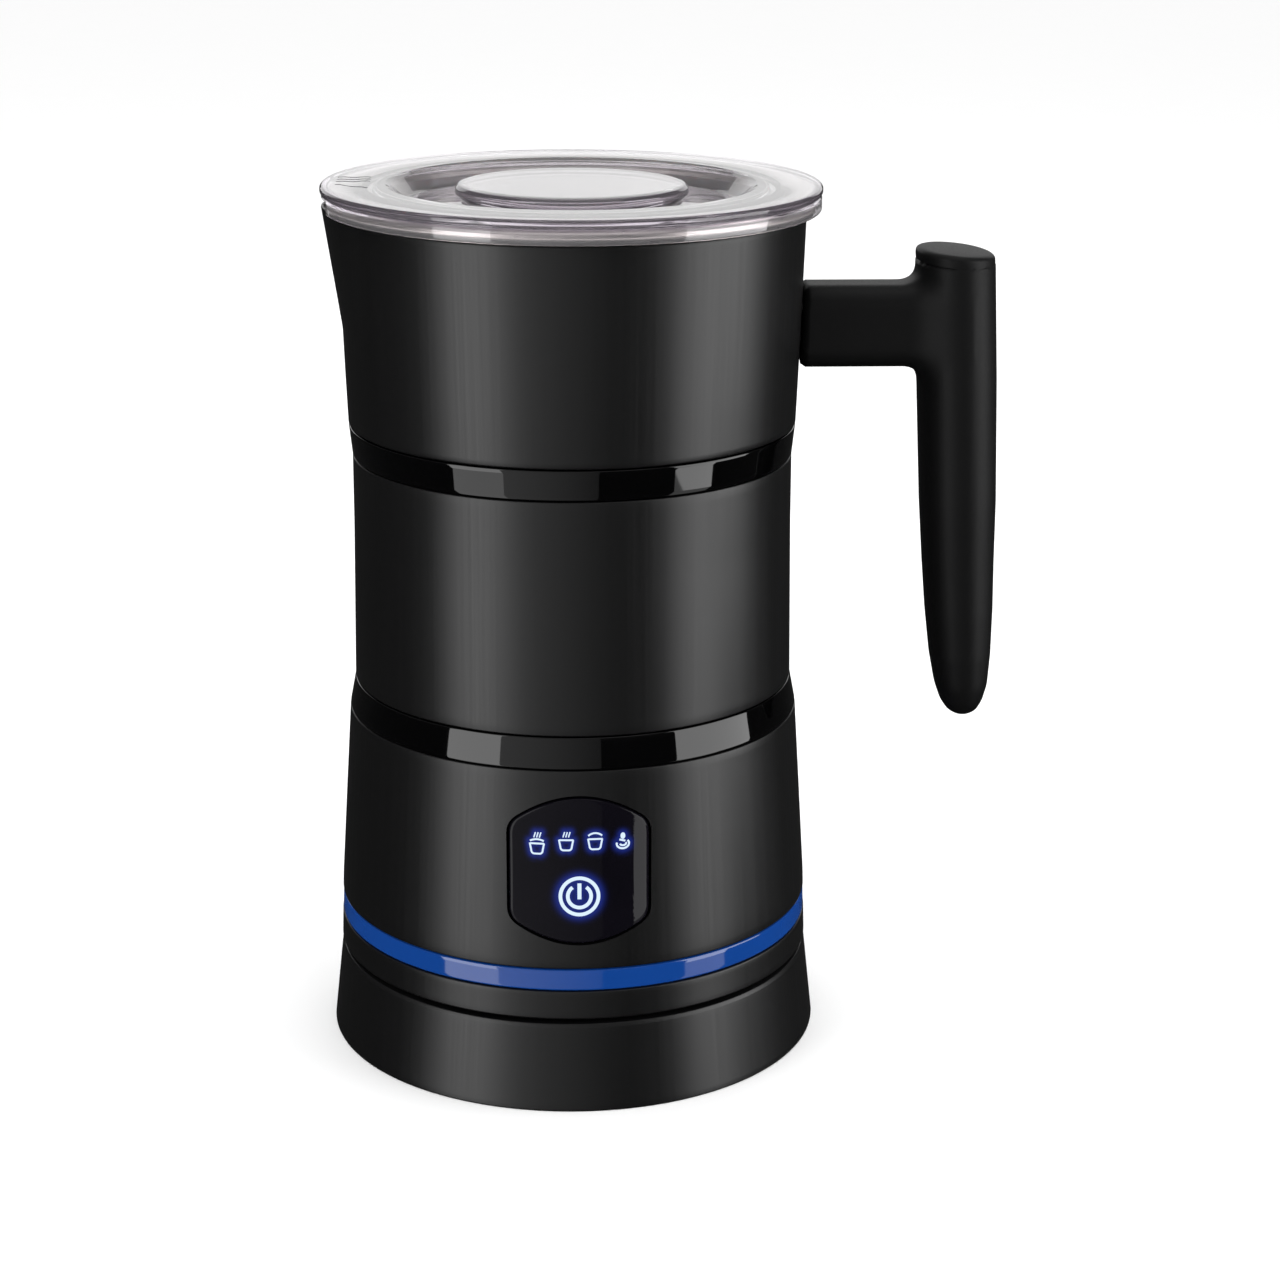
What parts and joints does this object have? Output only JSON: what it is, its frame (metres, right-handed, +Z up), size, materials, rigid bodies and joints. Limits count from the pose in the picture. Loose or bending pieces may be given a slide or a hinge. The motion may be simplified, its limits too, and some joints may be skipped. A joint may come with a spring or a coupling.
{
  "type": "milk frother",
  "caption": "Cordless electric milk frother: powered round base, lift-off heated jug with spout, side handle, touch panel and lit ring, magnetic whisk, clear lid.",
  "frame": {"origin": "on the jug's axis, at the surface that the base stands on, within 0.9 mm of the base's flat underside", "axes": "+Z up along the jug's axis, +X towards the handle, -Y towards the control panel, -X towards the spout"},
  "size_m": [0.1423, 0.1072, 0.1832],
  "materials": {
    "satin_black_metal": "satin black with a faint vertical brush",
    "gloss_black": "piano black, mirror gloss",
    "panel_glass": "gloss black touch window with white-blue lit symbols",
    "soft_touch_black": "soft-touch black",
    "inner_plastic": "moulded dark grey",
    "connector_plastic": "moulded black",
    "light_ring_blue": "glossy deep blue light guide",
    "clear_lid": "clear copolyester with a faint violet tint at its edges",
    "pot_steel": "polished and brushed stainless steel",
    "fastener_steel": "zinc-plated steel",
    "black_rubber": "matt black rubber",
    "silicone": "translucent white silicone",
    "contact_brass": "plated brass contacts",
    "cast_aluminium": "as cast and pressed",
    "circuit_board": "green solder mask",
    "magnet_nickel": "nickel-plated",
    "whisk_plastic": "moulded black"
  },
  "bodies": {
    "base": {"base_cover": "satin_black_metal", "base_floor": "inner_plastic", "connector_turret": "connector_plastic", "contact_pin": "contact_brass", "contact_ring_inner": "contact_brass", "contact_ring_outer": "contact_brass", "cord_gland": "black_rubber", "foot_1": "black_rubber", "foot_2": "black_rubber", "foot_3": "black_rubber", "foot_4": "black_rubber", "base_screw_1": "fastener_steel", "base_screw_2": "fastener_steel", "base_screw_3": "fastener_steel"},
    "socket": {"connector_socket": "connector_plastic"},
    "jug": {"bottom_cover": "satin_black_metal", "light_ring": "light_ring_blue", "led_board": "circuit_board", "lower_shell": "satin_black_metal", "lower_trim_ring": "gloss_black", "waist_shell": "satin_black_metal", "upper_trim_ring": "gloss_black", "upper_shell": "satin_black_metal", "inner_pot": "pot_steel", "whisk_spindle": "pot_steel", "heater_plate": "cast_aluminium", "heater_element": "fastener_steel", "thermostat": "inner_plastic", "temperature_probe": "fastener_steel", "motor_chassis": "inner_plastic", "motor_case": "cast_aluminium", "control_board": "circuit_board", "panel_window": "panel_glass", "panel_board": "circuit_board", "handle": "soft_touch_black", "handle_cap": "soft_touch_black", "handle_bracket": "fastener_steel", "handle_screw_1": "fastener_steel", "handle_screw_2": "fastener_steel", "bottom_screw_1": "fastener_steel", "bottom_screw_2": "fastener_steel", "bottom_screw_3": "fastener_steel"},
    "rotor": {"motor_shaft": "fastener_steel", "magnet_carrier": "inner_plastic", "drive_magnet_1": "magnet_nickel", "drive_magnet_2": "magnet_nickel"},
    "bush": {"whisk_bush": "whisk_plastic"},
    "whisk": {"whisk_hub": "whisk_plastic", "froth_coil": "pot_steel", "whisk_magnet_1": "magnet_nickel", "whisk_magnet_2": "magnet_nickel"},
    "lid": {"lid": "clear_lid", "lid_gasket": "silicone"}
  },
  "joints": [
    {"name": "jug_lift", "type": "slide", "parent": "base", "child": "socket", "axis": [0, 0, 1], "range_m": [0, 0.06]},
    {"name": "jug_turn", "type": "hinge", "parent": "socket", "child": "jug", "pos_m": [0, 0, 0.025], "axis": [0, 0, 1], "continuous": true},
    {"name": "lid_lift", "type": "slide", "parent": "jug", "child": "lid", "axis": [0, 0, 1], "range_m": [0, 0.04]},
    {"name": "motor_spin", "type": "hinge", "parent": "jug", "child": "rotor", "pos_m": [0, 0, 0.045], "axis": [0, 0, 1], "continuous": true},
    {"name": "whisk_lift", "type": "slide", "parent": "jug", "child": "bush", "axis": [0, 0, 1], "range_m": [0, 0.08]},
    {"name": "whisk_spin", "type": "hinge", "parent": "bush", "child": "whisk", "pos_m": [0, 0, 0.066], "axis": [0, 0, 1], "continuous": true}
  ],
  "couplings": [
    {"joint": "whisk_spin", "follows": "motor_spin", "ratio": 1}
  ]
}
